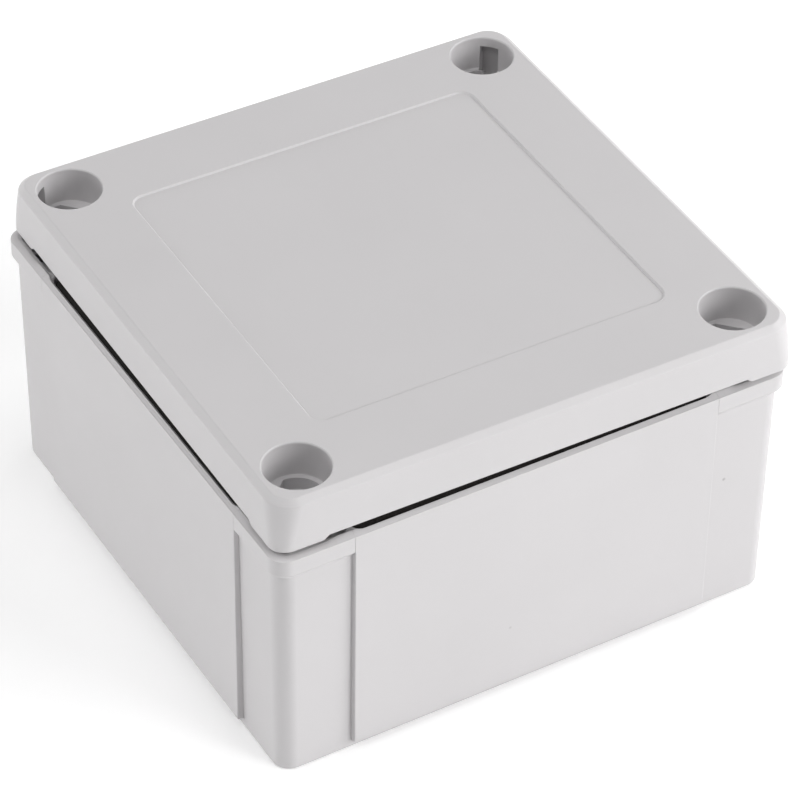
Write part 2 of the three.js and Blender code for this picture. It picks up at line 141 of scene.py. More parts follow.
def skin_rings(name, rings, closed=False, fans=False):
    """Joins rings of equally many points. An open stack gets a flat cap at each end, if asked as a fan."""
    count = len(rings[0])
    points = [p for ring in rings for p in ring]
    faces = []
    for k in range(len(rings) if closed else len(rings) - 1):
        a, b = k * count, (k + 1) % len(rings) * count
        faces += [(a + i, a + (i + 1) % count, b + (i + 1) % count, b + i) for i in range(count)]
    last = len(points) - count
    if fans:
        faces += [(len(points), (i + 1) % count, i) for i in range(count)]
        faces += [(len(points) + 1, last + i, last + (i + 1) % count) for i in range(count)]
        for ring in (rings[0], rings[-1]):
            points.append(tuple(sum(p[k] for p in ring) / count for k in range(3)))
    elif not closed:
        faces.append(list(range(count))[::-1])
        faces.append([last + i for i in range(count)])
    return add_object(name, points, faces)


def round_profile(corners, steps=4, loop=False):
    """Path of (across, up) points whose corners, given as (across, up, radius), are rounded."""
    path = []
    for i, (x, z, radius) in enumerate(corners):
        if radius == 0 or not loop and i in (0, len(corners) - 1):
            path.append((x, z))
            continue
        here = Vector((x, z))
        before = (Vector(corners[i - 1][:2]) - here).normalized()
        after = (Vector(corners[(i + 1) % len(corners)][:2]) - here).normalized()
        half = before.angle(after) / 2
        reach = radius / math.tan(half)
        middle = here + (before + after).normalized() * (radius / math.sin(half))
        start = here + before * reach - middle
        turn = math.pi - 2 * half
        side = math.copysign(1, start.x * (here - middle).y - start.y * (here - middle).x)
        for k in range(steps + 1):
            angle = side * turn * k / steps
            path.append((
                middle.x + start.x * math.cos(angle) - start.y * math.sin(angle),
                middle.y + start.x * math.sin(angle) + start.y * math.cos(angle),
            ))
    return path


def four_times(points):
    """Repeats points given for one quarter of a ring, as (x, y) or (x, y, z), round the upright axis."""
    turns = ((1, 0), (0, 1), (-1, 0), (0, -1))
    return [(c * x - s * y, s * x + c * y, *rest) for c, s in turns for x, y, *rest in points]


def corner_arc(half, radius, steps, side=1):
    """Quarter circle at a square's corner, at +X and at +Y or, for side -1, at -Y."""
    inset = half - radius
    angles = [(i / steps - (side < 0)) * math.pi / 2 for i in range(steps + 1)]
    return [(inset + radius * math.cos(a), side * inset + radius * math.sin(a)) for a in angles]


def square_ring(half, radius, z, steps=12):
    return [(x, y, z) for x, y in four_times(corner_arc(half, radius, steps))]


def square_loft(name, levels, steps=12):
    return skin_rings(name, [square_ring(half, radius, z, steps) for z, half, radius in levels])


def lathe(name, profile, x=0, y=0, sides=64):
    """Turns (radius, height) points, all off the axis, round an upright axis, with flat caps."""
    angles = [2 * math.pi * i / sides for i in range(sides)]
    return skin_rings(name, [
        [(x + radius * math.cos(a), y + radius * math.sin(a), z) for a in angles] for radius, z in profile
    ])


def prism(name, outline, z0, z1):
    return skin_rings(name, [[(x, y, z0) for x, y in outline], [(x, y, z1) for x, y in outline]])


def prism_x(name, outline, x0, x1):
    """A prism along X of an outline of (y, z) points."""
    return skin_rings(name, [[(x0, y, z) for y, z in outline], [(x1, y, z) for y, z in outline]])


def block(name, x0, x1, y0, y1, z0, z1):
    return prism(name, [(x0, y0), (x1, y0), (x1, y1), (x0, y1)], z0, z1)


def moved(obj, turn=0.0, x=0.0, y=0.0, z=0.0, axis="Z"):
    """Turns a mesh round an axis through the origin and then shifts it."""
    obj.data.transform(Matrix.Translation((x * MM, y * MM, z * MM)) @ Matrix.Rotation(turn, 4, axis))
    return obj


def copy_of(obj, name):
    twin = obj.copy()
    twin.data = obj.data.copy()
    twin.name = name
    bpy.context.scene.collection.objects.link(twin)
    return twin


def combine(target, tools, how="DIFFERENCE"):
    """Cuts the tools from the target, or joins them to it, and deletes them."""
    for tool in tools:
        modifier = target.modifiers.new("cut", "BOOLEAN")
        modifier.operation = how
        modifier.object = tool
        modifier.solver = "MANIFOLD"
        apply_modifiers(target)
        bpy.data.objects.remove(tool)
    return target


def apply_modifiers(obj):
    bpy.context.view_layer.update()
    evaluated = obj.evaluated_get(bpy.context.evaluated_depsgraph_get())
    mesh = bpy.data.meshes.new_from_object(evaluated)
    old = obj.data
    obj.modifiers.clear()
    obj.data = mesh
    mesh.name = obj.name
    bpy.data.meshes.remove(old)


def soften(obj, width, degrees=35, segments=2):
    """Rounds the edges that turn by more than an angle."""
    bevel = obj.modifiers.new("bevel", "BEVEL")
    bevel.width = width * MM
    bevel.segments = segments
    bevel.limit_method = "ANGLE"
    bevel.angle_limit = math.radians(degrees)
    apply_modifiers(obj)
    return obj


def finish_mesh(obj, sharp_degrees=32):
    """Merges stray doubles, smooths round stretches and keeps flat faces flat."""
    work = bmesh.new()
    work.from_mesh(obj.data)
    bmesh.ops.remove_doubles(work, verts=work.verts, dist=0.002 * MM)
    bmesh.ops.dissolve_degenerate(work, edges=work.edges, dist=0.001 * MM)
    work.to_mesh(obj.data)
    work.free()
    obj.data.polygons.foreach_set("use_smooth", [True] * len(obj.data.polygons))
    obj.data.set_sharp_from_angle(angle=math.radians(sharp_degrees))
    weighted = obj.modifiers.new("normals", "WEIGHTED_NORMAL")
    weighted.keep_sharp = True
    weighted.weight = 100
    return obj


def to_lid(obj):
    """Puts a mesh made round the lid's own middle and top face in its place on the box."""
    return moved(obj, LID_TURN, LID_SHIFT[0], LID_SHIFT[1], LID_TOP)


def at_corner(obj, signs, reach=SCREW_XY):
    """Puts a mesh made round the origin at a corner's screw, with its +X towards the corner."""
    return moved(obj, math.atan2(signs[1], signs[0]), signs[0] * reach, signs[1] * reach)


def at_corners(obj):
    copies = [at_corner(copy_of(obj, obj.name + "_" + name), signs) for name, signs in CORNERS.items()]
    bpy.data.objects.remove(obj)
    return copies


# ---- Outline of the seal: a square whose corners step inwards round the pockets ----
SEAL_OUTER_CONCAVE = 1.2    # corner radii at no margin
SEAL_INNER_CONVEX = 0.7
SEAL_INNER_CONCAVE = 3.0
LEAST_R = 0.2


def rounded_outline(points, radii, steps=6):
    outline = []
    for i, point in enumerate(points):
        here = Vector(point)
        before = (Vector(points[i - 1]) - here).normalized()
        after = (Vector(points[(i + 1) % len(points)]) - here).normalized()
        middle = here + (before + after) * radii[i]
        for k in range(steps + 1):
            angle = k / steps * math.pi / 2
            outline.append(tuple(middle - (after * math.cos(angle) + before * math.sin(angle)) * radii[i]))
    return outline


def seal_outline(far, near, convex, concave):
    corners = four_times([(far, near), (near, near), (near, far)])
    return rounded_outline(corners, [convex, concave, convex] * 4)


def seal_outer(margin):
    return seal_outline(GROOVE_OUT - margin, GROOVE_END - margin,
                        GROOVE_R - margin * 0.5, max(SEAL_OUTER_CONCAVE + margin, LEAST_R))


def seal_inner(margin):
    return seal_outline(GROOVE_OUT - GROOVE_W + margin, GROOVE_END - GROOVE_W + margin,
                        max(SEAL_INNER_CONVEX + margin, LEAST_R), SEAL_INNER_CONCAVE - margin * 0.6)


def seal_band(name, levels):
    """A band along the groove, from (height, margin on both sides) levels given from the bottom up."""
    outer = [[(x, y, z) for x, y in seal_outer(margin)] for z, margin in levels]
    inner = [[(x, y, z) for x, y in seal_inner(margin)] for z, margin in reversed(levels)]
    return skin_rings(name, outer + inner, closed=True)


# ---- Base ----
# Fine channel where a panel's end meets the column: (along the wall, share of ROOT_DEPTH outwards)
PANEL_ROOT = ((-0.42, 0.0), (-0.3, -0.3), (-0.16, -1.0), (0.0, -0.8), (0.0, 0.4))
ROOT_DEPTH = 0.1
PANEL_EDGE = 0.25      # rounding of the panel's upright edge
END_SLANT = 0.04       # draft of the panel's end face
FOOT_EDGE = 0.3        # rounding round the underside
PANEL_FOOT_EDGE = 0.3  # rounding under a panel
SEAM_DEPTH = 0.09      # fine seam that continues the panel's end through the collar
# The rim slopes up from a narrow step to a crest along the groove: (inwards from the collar, up)
RIM_PROFILE = [
    (0.02, -0.2), (0.08, -0.15), (0.28, -0.12), (0.35, -0.09), (0.75, 0.14), (1.15, 0.38),
    (1.45, 0.55), (1.57, 0.6), (1.72, 0.6), (2.1, 0.0),
]
CORNER_CREST = 0.24    # share of the crest's rise left at the corners, where the closed lid comes low
CREST_ENDS = 51.0      # distance from the middle planes where the corners begin


def panel_end(steps=4):
    """(along the wall from the panel's end, share of the panel's height), from the column to its face."""
    deep = COLLAR - COLUMN_FOOT
    points = [(along - END_SLANT, share * ROOT_DEPTH / deep) for along, share in PANEL_ROOT]
    for k in range(steps + 1):
        angle = k / steps * math.pi / 2
        along = END_SLANT + PANEL_EDGE * (1 - math.cos(angle))
        points.append((along, 1 - PANEL_EDGE * (1 - math.sin(angle)) / deep))
    return points


def wall_ring(z, half, radius, panel, seam, steps=10):
    """One level of the base's outside: corner arcs and, between them, the panels, proud by panel."""
    end = panel_end()
    last_root = len(PANEL_ROOT) - 1
    side = [(half, -CREST_ENDS - 1.5), (half, -CREST_ENDS + 1.5)]
    for i, (along, share) in enumerate(end):
        out = half + panel * share - (seam if i in (last_root, last_root + 1) else 0)
        side.append((out, -PANEL_HALF + along))
    side += [(out, -along) for out, along in reversed(side)]
    return [(x, y, z) for x, y in four_times(corner_arc(half, radius, steps, -1) + side)]


def base_outside():
    profile = round_profile([
        (COLUMN_FOOT - FOOT_EDGE, 0, 0), (COLUMN_FOOT, 0, FOOT_EDGE), (COLUMN_TOP, SLOPE_Z, 1.0),
        (COLLAR, COLLAR_Z, 0.6), (COLLAR, RIM_Z - 0.3, 0),
    ], steps=5)
    levels = []
    for half, z in profile:
        share = min(max(z / COLLAR_Z, 0), 1)
        proud = max(COLLAR - half, 0) if PANEL_FOOT < z < COLLAR_Z else 0
        seam = SEAM_DEPTH if z > COLLAR_Z - 0.5 else 0
        levels.append((z, half, COLUMN_R + (COLLAR_R - COLUMN_R) * share, proud, seam))
    foot = COLUMN_FOOT + (COLUMN_TOP - COLUMN_FOOT) * PANEL_FOOT / SLOPE_Z
    for k in range(5):
        angle = k / 4 * math.pi / 2
        z = PANEL_FOOT + PANEL_FOOT_EDGE * (1 - math.cos(angle))
        levels.append((z, foot, COLUMN_R, COLLAR - foot - PANEL_FOOT_EDGE * (1 - math.sin(angle)), 0))
    levels.append((PANEL_FOOT - 0.02, foot, COLUMN_R, 0, 0))
    levels.sort()
    for inwards, up in RIM_PROFILE:
        levels.append((RIM_Z + up, COLLAR - inwards, COLLAR_R - inwards, 0, SEAM_DEPTH))
    base = skin_rings("enclosure_base_fine", [wall_ring(*level) for level in levels], fans=True)
    for vertex in base.data.vertices:
        if vertex.co.z > RIM_Z * MM and min(abs(vertex.co.x), abs(vertex.co.y)) > CREST_ENDS * MM:
            vertex.co.z = RIM_Z * MM + (vertex.co.z - RIM_Z * MM) * CORNER_CREST
    return base


def make_base():
    base = base_outside()
    well = square_loft("well", [
        (2.6, WELL_HALF - 1.5, 1.6), (2.75, WELL_HALF - 0.9, 2.2), (3.3, WELL_HALF - 0.4, 2.7),
        (4.0, WELL_HALF - 0.3, 2.8), (WELL_TOP, WELL_HALF, 3.0),
    ])
    post = lathe("post", [(POST_R + 0.7, 2.0), (POST_R + 0.3, 3.0), (POST_R, 4.2), (POST_R, WELL_TOP + 1.4)])
    well = combine(well, at_corners(post))
    lip = GROOVE_W + 1.3
    mouth = prism("mouth", seal_outline(GROOVE_OUT - lip, GROOVE_END - lip, 1, 4), WELL_TOP - 1, RIM_Z + 1)
    flare = 0.25
    groove = seal_band("groove", [(GROOVE_Z, 0), (RIM_Z - flare, 0), (RIM_Z + 1, -flare - 1)])
    pocket_half = (POCKET_OUT - POCKET) / 2
    pocket = square_loft("pocket", [
        (RIM_Z - 1.5, pocket_half - 0.2, 1.3), (RIM_Z - 1.3, pocket_half, 1.5),
        (RIM_Z - 0.15, pocket_half, 1.5), (RIM_Z + 0.5, pocket_half + 0.65, 2.15),
    ])
    pocket_middle = POCKET + pocket_half
    pockets = [
        moved(copy_of(pocket, "pocket_" + name), 0, sx * pocket_middle, sy * pocket_middle)
        for name, (sx, sy) in CORNERS.items()
    ]
    bpy.data.objects.remove(pocket)
    long, wide = SLOT_HALF
    slot_outline = rounded_outline([(-long, -wide), (long, -wide), (long, wide), (-long, wide)], [1.2] * 4)
    slot = prism("slot", slot_outline, CATCH_LOW - 1, CATCH_TOP + 1)
    recess = lathe("recess", [(8.0, CATCH_TOP), (8.0, RIM_Z - 0.9)])
    turn_low = CATCH_LOW - 10
    turn_room = lathe("turn_room", [(4.4, turn_low), (TURN_R, turn_low + 0.4), (TURN_R, CATCH_LOW)])
    channel = lathe("channel", [
        (WALL_SCREW_R, -1), (WALL_SCREW_R, WALL_SCREW_SEAT),
        (WALL_SCREW_HEAD_R, WALL_SCREW_SEAT + 0.01), (WALL_SCREW_HEAD_R, turn_low + 1.4),
    ], sides=40)
    tools = [well, mouth, groove] + pockets
    for tool in (slot, recess, turn_room, channel):
        tools += at_corners(tool)
    base = combine(base, tools)
    for x in (-RAIL_SCREW_X, RAIL_SCREW_X):
        boss = lathe("boss", [(6.6, 2.0), (6.2, 3.0), (5.6, 4.0), (5.5, 10.4), (5.3, 10.7)], x=x, sides=48)
        hole = lathe("boss_hole", [(2.1, 3.2), (2.1, 10.3), (2.6, 11.0)], x=x, sides=32)
        base = combine(base, [boss], "UNION")
        base = combine(base, [hole])
    return finish_mesh(base)


# ---- Lid ----
SKIRT_RISE = SKIRT_MID - SKIRT_CORNER
# Places of the points across the step, from SKIRT_STEP
STEP_PLACES = (0.8, 0.4, 0.1, -0.2, -0.5, -0.8, -1.1, -1.5, -1.9)
SKIRT_R = 4.0          # corner radius of the lid's outside at its lower edge
INNER_R = 3.0          # and of its inside
EDGE_R_GAIN = 2.3      # growth of that radius up to the bevel
FACE_R_LOSS = 1.7      # and its loss over the bevel
LEAST_FACE_R = 2.6


def skirt_rise(place):
    """How much the skirt's lower edge is raised at a distance from a side's middle."""
    share = min(max((SKIRT_STEP + 0.2 - place) / (SKIRT_RISE + 0.4), 0), 1)
    return SKIRT_RISE * (share * share * (3 - 2 * share) * 0.35 + share * 0.65)


def lid_ring(half, radius, height, skirt=False):
    """One level of the lid's shell. Along the lower edge, the sides rise between the corners."""
    places = [SKIRT_STEP + offset for offset in STEP_PLACES]
    points = [(x, y, height) for x, y in corner_arc(half, radius, 14, -1)]
    for place in [-place for place in places] + places[::-1]:
        points.append((half, place, height + (skirt_rise(abs(place)) if skirt else 0)))
    return four_times(points)


def lid_shell():
    edge = 0.05
    inner = LID_HALF - SKIRT_WALL
    rings = [lid_ring(inner - inset, radius, z) for inset, radius, z in (
        (1.2, 3.1, -2.6), (0.5, 3.8, -2.8), (0.2, 4.2, -3.4))]
    for k in range(4):
        angle = k / 3 * math.pi / 2
        out, up = edge * (1 - math.cos(angle)), edge * (1 - math.sin(angle))
        rings.append(lid_ring(inner + out, INNER_R + out, SKIRT_CORNER + up, skirt=True))
    for k in range(5):
        angle = k / 4 * math.pi / 2
        inwards, up = edge * (1 - math.sin(angle)), edge * (1 - math.cos(angle))
        rings.append(lid_ring(LID_HALF - inwards, SKIRT_R - inwards, SKIRT_CORNER + up, skirt=True))
    rings.append(lid_ring(LID_HALF, SKIRT_R + 0.15, SKIRT_MID + 0.9))
    outside = round_profile([
        (LID_HALF, -6, 0), (LID_EDGE, -LID_BEVEL, 0.5), (LID_FACE, 0, 0.6), (LID_FACE - 2, 0, 0),
    ], steps=6)
    for half, z in outside:
        below = (z - SKIRT_CORNER) / (-LID_BEVEL - SKIRT_CORNER)
        above = (z + LID_BEVEL) / LID_BEVEL
        radius = SKIRT_R + EDGE_R_GAIN * min(below, 1) - FACE_R_LOSS * max(above, 0)
        rings.append(lid_ring(half, max(radius - max(0, LID_FACE - half), LEAST_FACE_R), z))
    return skin_rings("lid_fine", rings)


def opening(name, margin, z0, z1):
    """The opening under a counterbore: round, with two flats along the diagonal."""
    reach, flat = OPENING_R + margin, OPENING_FLAT + margin
    limit = math.asin(flat / reach)
    outline = []
    for side in (0, math.pi):
        for k in range(13):
            angle = side - limit + 2 * limit * k / 12
            outline.append((reach * math.cos(angle), reach * math.sin(angle)))
    return prism(name, outline, z0, z1)


def make_lid():
    lid = lid_shell()
    sleeve = lathe("sleeve", [(SLEEVE_R, BORE_DEPTH - 1.5), (SLEEVE_R, -2.0)])
    lower = lathe("lower_sleeve", [(5.4, SEAT_Z - 1.2), (5.6, SEAT_Z - 1), (5.6, SEAT_Z + 2.9)])
    sleeve = combine(sleeve, [opening("middle_sleeve", 1.25, SEAT_Z + 1.5, -9.0), lower], "UNION")
    keep = square_loft("keep", [(-16, LID_HALF - 1, 4.2), (-1, LID_HALF - 1, 5.2)])
    sleeves = [combine(part, [copy_of(keep, "keep_part")], "INTERSECT") for part in at_corners(sleeve)]
    bpy.data.objects.remove(keep)
    margin = (GROOVE_W - TONGUE_W) / 2
    low = gasket_high[2] + 0.3 - LID_TOP
    tongue = seal_band("tongue", [(low, margin + 0.25), (low + 0.25, margin), (-2.1, margin - 0.2)])
    lid = combine(lid, sleeves + [tongue], "UNION")

    label = square_loft("label", [(z, LABEL_HALF - inwards, radius) for z, inwards, radius in (
        (-0.4, 0.78, 2.9), (-0.45, 0.63, 3.0), (-0.45, 0.48, 3.1), (-0.34, 0.32, 3.3),
        (-0.06, 0.12, 3.4), (0.0, 0.0, 3.5), (0.5, -0.54, 4.0),
    )])
    bore = lathe("bore", [
        (6.9, BORE_DEPTH), (7.15, BORE_DEPTH + 0.1), (7.27, BORE_DEPTH + 0.4), (BORE_R - 0.05, -0.5),
        (BORE_R, -0.25), (BORE_R + 0.1, -0.1), (BORE_R + 0.25, 0.0), (BORE_R + 0.8, 0.4),
    ], sides=96)
    across = (-WINDOW_HALF, WINDOW_HALF)
    window = block("window", 3, WINDOW_REACH, *across, BORE_DEPTH, WINDOW_TOP)
    window = combine(window, [block("window_foot", 6.0, WINDOW_REACH, *across, -11.5, -8)], "UNION")
    seat = lathe("seat", [(2.4, -17), (2.4, SEAT_Z), (4.3, SEAT_Z + 0.01), (4.3, -11)], sides=48)
    tools = [label]
    for tool in (bore, window, opening("opening", 0, -12.0, BORE_DEPTH + 1), seat):
        tools += at_corners(tool)
    return to_lid(finish_mesh(combine(lid, tools)))


# ---- Gasket: foam with the mark that the lid's tongue has pressed into it ----
def make_gasket():
    low, high = gasket_low[2], gasket_high[2]
    margin = 0.3
    gasket = seal_band("lid_gasket_fine", [
        (low, margin + 0.4), (low + 0.4, margin), (high - 0.9, margin),
        (high - 0.35, margin + 0.25), (high - 0.08, margin + 0.8), (high, margin + 1.6),
    ])
    tongue = (GROOVE_W - TONGUE_W) / 2
    mark = seal_band("mark", [
        (high - 1.2, tongue), (high - 0.95, tongue - 0.2),
        (high - 0.15, tongue - 0.2), (high + 0.3, tongue - 0.65),
    ])
    moved(mark, LID_TURN, *LID_SHIFT)
    return finish_mesh(combine(gasket, [mark]), 60)


# ---- Lid screws and their pins, made round the origin in the lid's heights ----
HEAD_R = 3.8
HEAD_TOP = -11.5
HEAD_FOOT = -14.1
SHANK_R = 2.0
PIN_R = 1.2
PIN_HALF = 5.2
PIN_Z = CATCH_LOW - 0.3 - PIN_R - LID_TOP


def cross_recess(name, top, depth, reach, width):
    """Tool of a cross drive: four wings that narrow towards the bottom."""
    rings = []
    for z, share in ((top + 0.6, 1.2), (top, 1.0), (top - depth * 0.8, 0.62), (top - depth, 0.3)):
        far, near = reach * share, width * (0.55 + 0.45 * share) / 2
        rings.append(four_times([(far, -near, z), (far, near, z), (near, near, z)]))
    return skin_rings(name, rings[::-1])


def laid_over(obj, z):
    """Lays a mesh made along Z over to X, at a height."""
    return moved(obj, math.pi / 2, z=z, axis="Y")


def make_lid_screw(name, signs):
    tip = PIN_Z - PIN_R - 1
    profile = round_profile([
        (0.4, tip, 0), (SHANK_R - 0.6, tip, 0.3), (SHANK_R, tip + 0.7, 0.3), (SHANK_R, HEAD_FOOT - 0.4, 0),
        (SHANK_R, HEAD_FOOT, 0.2), (HEAD_R, HEAD_FOOT, 0.25), (HEAD_R, HEAD_TOP, 0.6), (0.4, HEAD_TOP, 0),
    ])
    screw = lathe("lid_screw_fine_" + name, profile, sides=48)
    pin_hole = laid_over(lathe("pin_hole", [(PIN_R + 0.25, -3), (PIN_R + 0.25, 3)], sides=32), PIN_Z)
    screw = combine(screw, [pin_hole, cross_recess("drive", HEAD_TOP, 1.7, 2.3, 1.1)])
    return to_lid(at_corner(finish_mesh(screw), signs))


def make_screw_pin(name, signs):
    profile = round_profile([
        (0.3, -PIN_HALF, 0), (PIN_R, -PIN_HALF, 0.35), (PIN_R, PIN_HALF, 0.35), (0.3, PIN_HALF, 0),
    ])
    pin = laid_over(lathe("screw_pin_fine_" + name, profile, sides=32), PIN_Z)
    return to_lid(at_corner(finish_mesh(pin), signs))


# ---- Rail ----
rail_low, rail_high = box_mm("din_rail")
RAIL_T = 1.0
RAIL_HALF = 17.5
TROUGH_HALF = 12.5
SLOT_STRAIGHT = 4.5
RAIL_SCREW_TURN = 0.35


def mirrored(half):
    """Closes an outline given for +Y from the bottom up; the rest of each point stays."""
    return half + [(-point[0],) + tuple(point[1:]) for point in reversed(half)]


def make_rail():
    low, top = rail_low[2], rail_high[2]
    bend, tight = RAIL_T + 0.4, 0.4
    half = [
        (TROUGH_HALF + RAIL_T, low, bend), (TROUGH_HALF + RAIL_T, top - RAIL_T, tight),
        (RAIL_HALF, top - RAIL_T, 0.2), (RAIL_HALF, top, 0.2),
        (TROUGH_HALF, top, bend), (TROUGH_HALF, low + RAIL_T, tight),
    ]
    rail = prism_x("din_rail_fine", round_profile(mirrored(half), loop=True), rail_low[0], rail_high[0])
    slots = []
    for step in (-1.5, -0.5, 0.5, 1.5):
        x = step * 2 * RAIL_SCREW_X / 3
        rings = []
        for z, wide in ((-1, 3.1), (0.1, 3.1), (0.3, 3.0), (0.7, 3.0), (0.9, 3.1), (2, 3.9)):
            x0, x1 = x - SLOT_STRAIGHT - wide, x + SLOT_STRAIGHT + wide
            outline = rounded_outline([(x0, -wide), (x1, -wide), (x1, wide), (x0, wide)], [wide * 0.98] * 4)
            rings.append([(px, py, low + z) for px, py in outline])
        slots.append(skin_rings("slot", rings))
    return finish_mesh(combine(soften(rail, 0.12, 50), slots))


def make_rail_screw(name, x):
    seat = rail_low[2] + RAIL_T + 0.3
    low = box_mm("rail_screw_left")[0][2]
    profile = [(0.3, low), (0.9, low + 0.4), (1.3, low + 1.2)]
    for k in range(int(seat - low - 2)):
        z = low + 1.4 + k
        profile += [(1.35, z), (1.75, z + 0.3), (1.75, z + 0.4), (1.35, z + 0.75)]
    profile += round_profile([
        (1.5, seat - 0.5, 0), (1.7, seat, 0.1), (4.4, seat, 0.15), (4.4, seat + 0.9, 0.5),
        (3.4, seat + 2.2, 0.9), (1.6, seat + 2.8, 1.0), (0.3, seat + 2.8, 0),
    ])
    screw = lathe(name + "_fine", profile, sides=48)
    screw = combine(screw, [cross_recess("drive", seat + 2.8, 2.0, 2.4, 1.1)])
    return moved(finish_mesh(screw), RAIL_SCREW_TURN, x)


# ---- Terminals ----
RAIL_TOP = rail_high[2]
# Profiles of half a housing, as (y, z, corner radius): the foot that grips the rail, from the inside out
FOOT = [
    (RAIL_HALF + 0.3, RAIL_TOP + 0.3, 0.3), (RAIL_HALF + 0.3, RAIL_TOP - RAIL_T - 0.3, 0.2),
    (RAIL_HALF - 1.2, RAIL_TOP - RAIL_T - 0.3, 0.2), (RAIL_HALF - 1.2, RAIL_TOP - 2.9, 0.5),
    (19.8, RAIL_TOP - 3.3, 0.9), (20.8, RAIL_TOP - 2.0, 0.6),
]
TERMINAL_WALL = 1.2
CHANNEL_Z = (24, 28)        # the current bar's channel
CHAMBER_TOP = 42            # and the chambers of the two clamps over it
WIRE_WAY = (18.4, 42.6)     # (y, z) of the funnel for the wire
WIRE_LEAN = math.pi / 4.6
TOOL_WAY_Y = 10
TEST_HOLE_Y = 5.6
MARKER_Y = 13.2
SPRING_T = 0.48


def housing_head(inset):
    """Upper half of the same profile, drawn in by a margin."""
    return [
        (20.8 - inset, 24, 1.5), (23 - inset, 26.5, 1.5), (23 - inset, 42 - inset / 2, 1.2),
        (18.5 - inset / 2, 47.5 - inset, 1.2), (10, 50 - inset, 1.0), (7.5, 53 - inset, 0.8),
    ]


def make_terminal(name):
    low, high = box_mm("terminal_" + name)
    x, x1 = low[0], high[0]
    profile = round_profile(mirrored(FOOT + housing_head(0)), loop=True)
    body = soften(prism_x("terminal_fine_" + name, profile, x, x1), 0.22, 50)
    tools = [block("channel", x + TERMINAL_WALL, x1 + 1, -18, 18, *CHANNEL_Z)]
    for side in (-1, 1):
        near, far = sorted((side * 4.5, side * 19))
        tools.append(block("chamber", x + TERMINAL_WALL, x1 + 1, near, far, CHANNEL_Z[0], CHAMBER_TOP))
        wire_way = lathe("wire_way", [(1.9, -8), (1.9, 1.55), (2.25, 2.6), (2.3, 6)], sides=32)
        wire_y, wire_z = WIRE_WAY
        tools.append(moved(wire_way, -side * WIRE_LEAN, x + 3.5, side * wire_y, wire_z, "X"))
        tool_way = square_loft("tool_way", [
            (40, 1, 0.2), (49.0, 1, 0.2), (50.4, 1.25, 0.3), (54, 1.5, 0.3)], 3)
        for vertex in tool_way.data.vertices:
            vertex.co.x *= 1.3
            vertex.co.y *= 0.8
        tools.append(moved(tool_way, 0, x + 3.5, side * TOOL_WAY_Y))
        tools.append(lathe("test_hole", [(0.7, 45), (0.7, 52), (1.3, 54)], x + 3.0, side * TEST_HOLE_Y, 24))
        marker_y = side * MARKER_Y
        tools.append(block("marker_slot", x + 0.9, x1 - 0.7, marker_y - 1.6, marker_y + 1.6, 48.1, 52))
    tools.append(block("bridge_slot", x + 1.0, x1 - 0.8, -3.4, 3.4, 52.2, 54))
    return finish_mesh(combine(body, tools))


def make_current_bar(name):
    low, high = box_mm("current_bar_" + name)
    z0, z1, top = low[2], low[2] + 1.2, high[2]
    half = [(17.4, z0, 0.3), (17.4, z1, 0.3), (3.5, z1, 0.5), (3.0, top, 0.4)]
    bar = prism_x("current_bar_fine_" + name, round_profile(mirrored(half), loop=True), low[0], high[0])
    return finish_mesh(soften(bar, 0.1, 50))


def make_clamp_spring(name, side):
    """A bent strip: its middle line in the YZ plane, with half its thickness to each side."""
    low, high = box_mm("clamp_spring_" + name)
    path = round_profile([
        (16.5, 26.3, 0), (6.2, 26.3, 0.6), (5.4, 27.4, 0.8), (5.6, 37.5, 1.0),
        (7.2, 39.6, 1.0), (9.6, 39.6, 1.2), (11.4, 37.6, 1.5), (15.4, 28.4, 0),
    ], steps=5)
    points = [Vector(point) for point in path]
    left, right = [], []
    for i, point in enumerate(points):
        along = (points[min(i + 1, len(points) - 1)] - points[max(i - 1, 0)]).normalized()
        across = Vector((-along.y, along.x)) * SPRING_T / 2
        left.append(point + across)
        right.append(point - across)
    outline = [(side * p.x, p.y) for p in right + left[::-1]]
    if side < 0:
        outline.reverse()
    spring = prism_x("clamp_spring_fine_" + name, outline, low[0], high[0])
    return finish_mesh(soften(spring, 0.06, 60, 1))


def make_end_cover():
    low, high = box_mm("terminal_end_cover")
    half = [(20.6, RAIL_TOP + 2, 1.0)] + housing_head(0.3)
    cover = prism_x("terminal_end_cover_fine", round_profile(mirrored(half), loop=True), low[0], high[0])
    field = [(17.5, 26, 1.0), (19.5, 29, 1.0), (19.5, 40.5, 1.0), (15.5, 44.5, 1.0), (5.5, 48.5, 1.0)]
    sunk = prism_x("sunk_field", round_profile(mirrored(field), loop=True), high[0] - 0.35, high[0] + 1)
    return finish_mesh(combine(soften(cover, 0.25, 50), [sunk]))


def make_end_bracket(name, outer_side):
    low, high = box_mm("end_bracket_" + name)
    half = FOOT + [
        (20.8, 27, 1.5), (17.5, 33, 1.5), (9, 36.5, 1.5), (8, 39, 0.8), (0.9, 39, 0.4), (0.9, 33, 0.3),
    ]
    bracket = prism_x("end_bracket_fine_" + name, round_profile(mirrored(half), loop=True), low[0], high[0])
    bracket = soften(bracket, 0.35, 50)
    tools = []
    face = high[0] if outer_side > 0 else low[0]
    for side in (-1, 1):
        outline = round_profile(
            [(side * 4, 23, 1.0), (side * 17, 23, 1.0), (side * 17, 27, 1.0), (side * 14, 31.3, 1.0),
             (side * 4, 34.5, 1.0)][::side], loop=True)
        inside, outside = sorted((face - outer_side * 1.2, face + outer_side))
        tools.append(prism_x("hollow", outline, inside, outside))
    return finish_mesh(combine(bracket, tools))


# ---- Materials ----
def new_material(name):
    """A material with its nodes, links and main shader."""
    material = bpy.data.materials.new(name)
    material.use_nodes = True
    nodes, links = material.node_tree.nodes, material.node_tree.links
    shader = nodes["Principled BSDF"]
    return material, nodes, links, shader


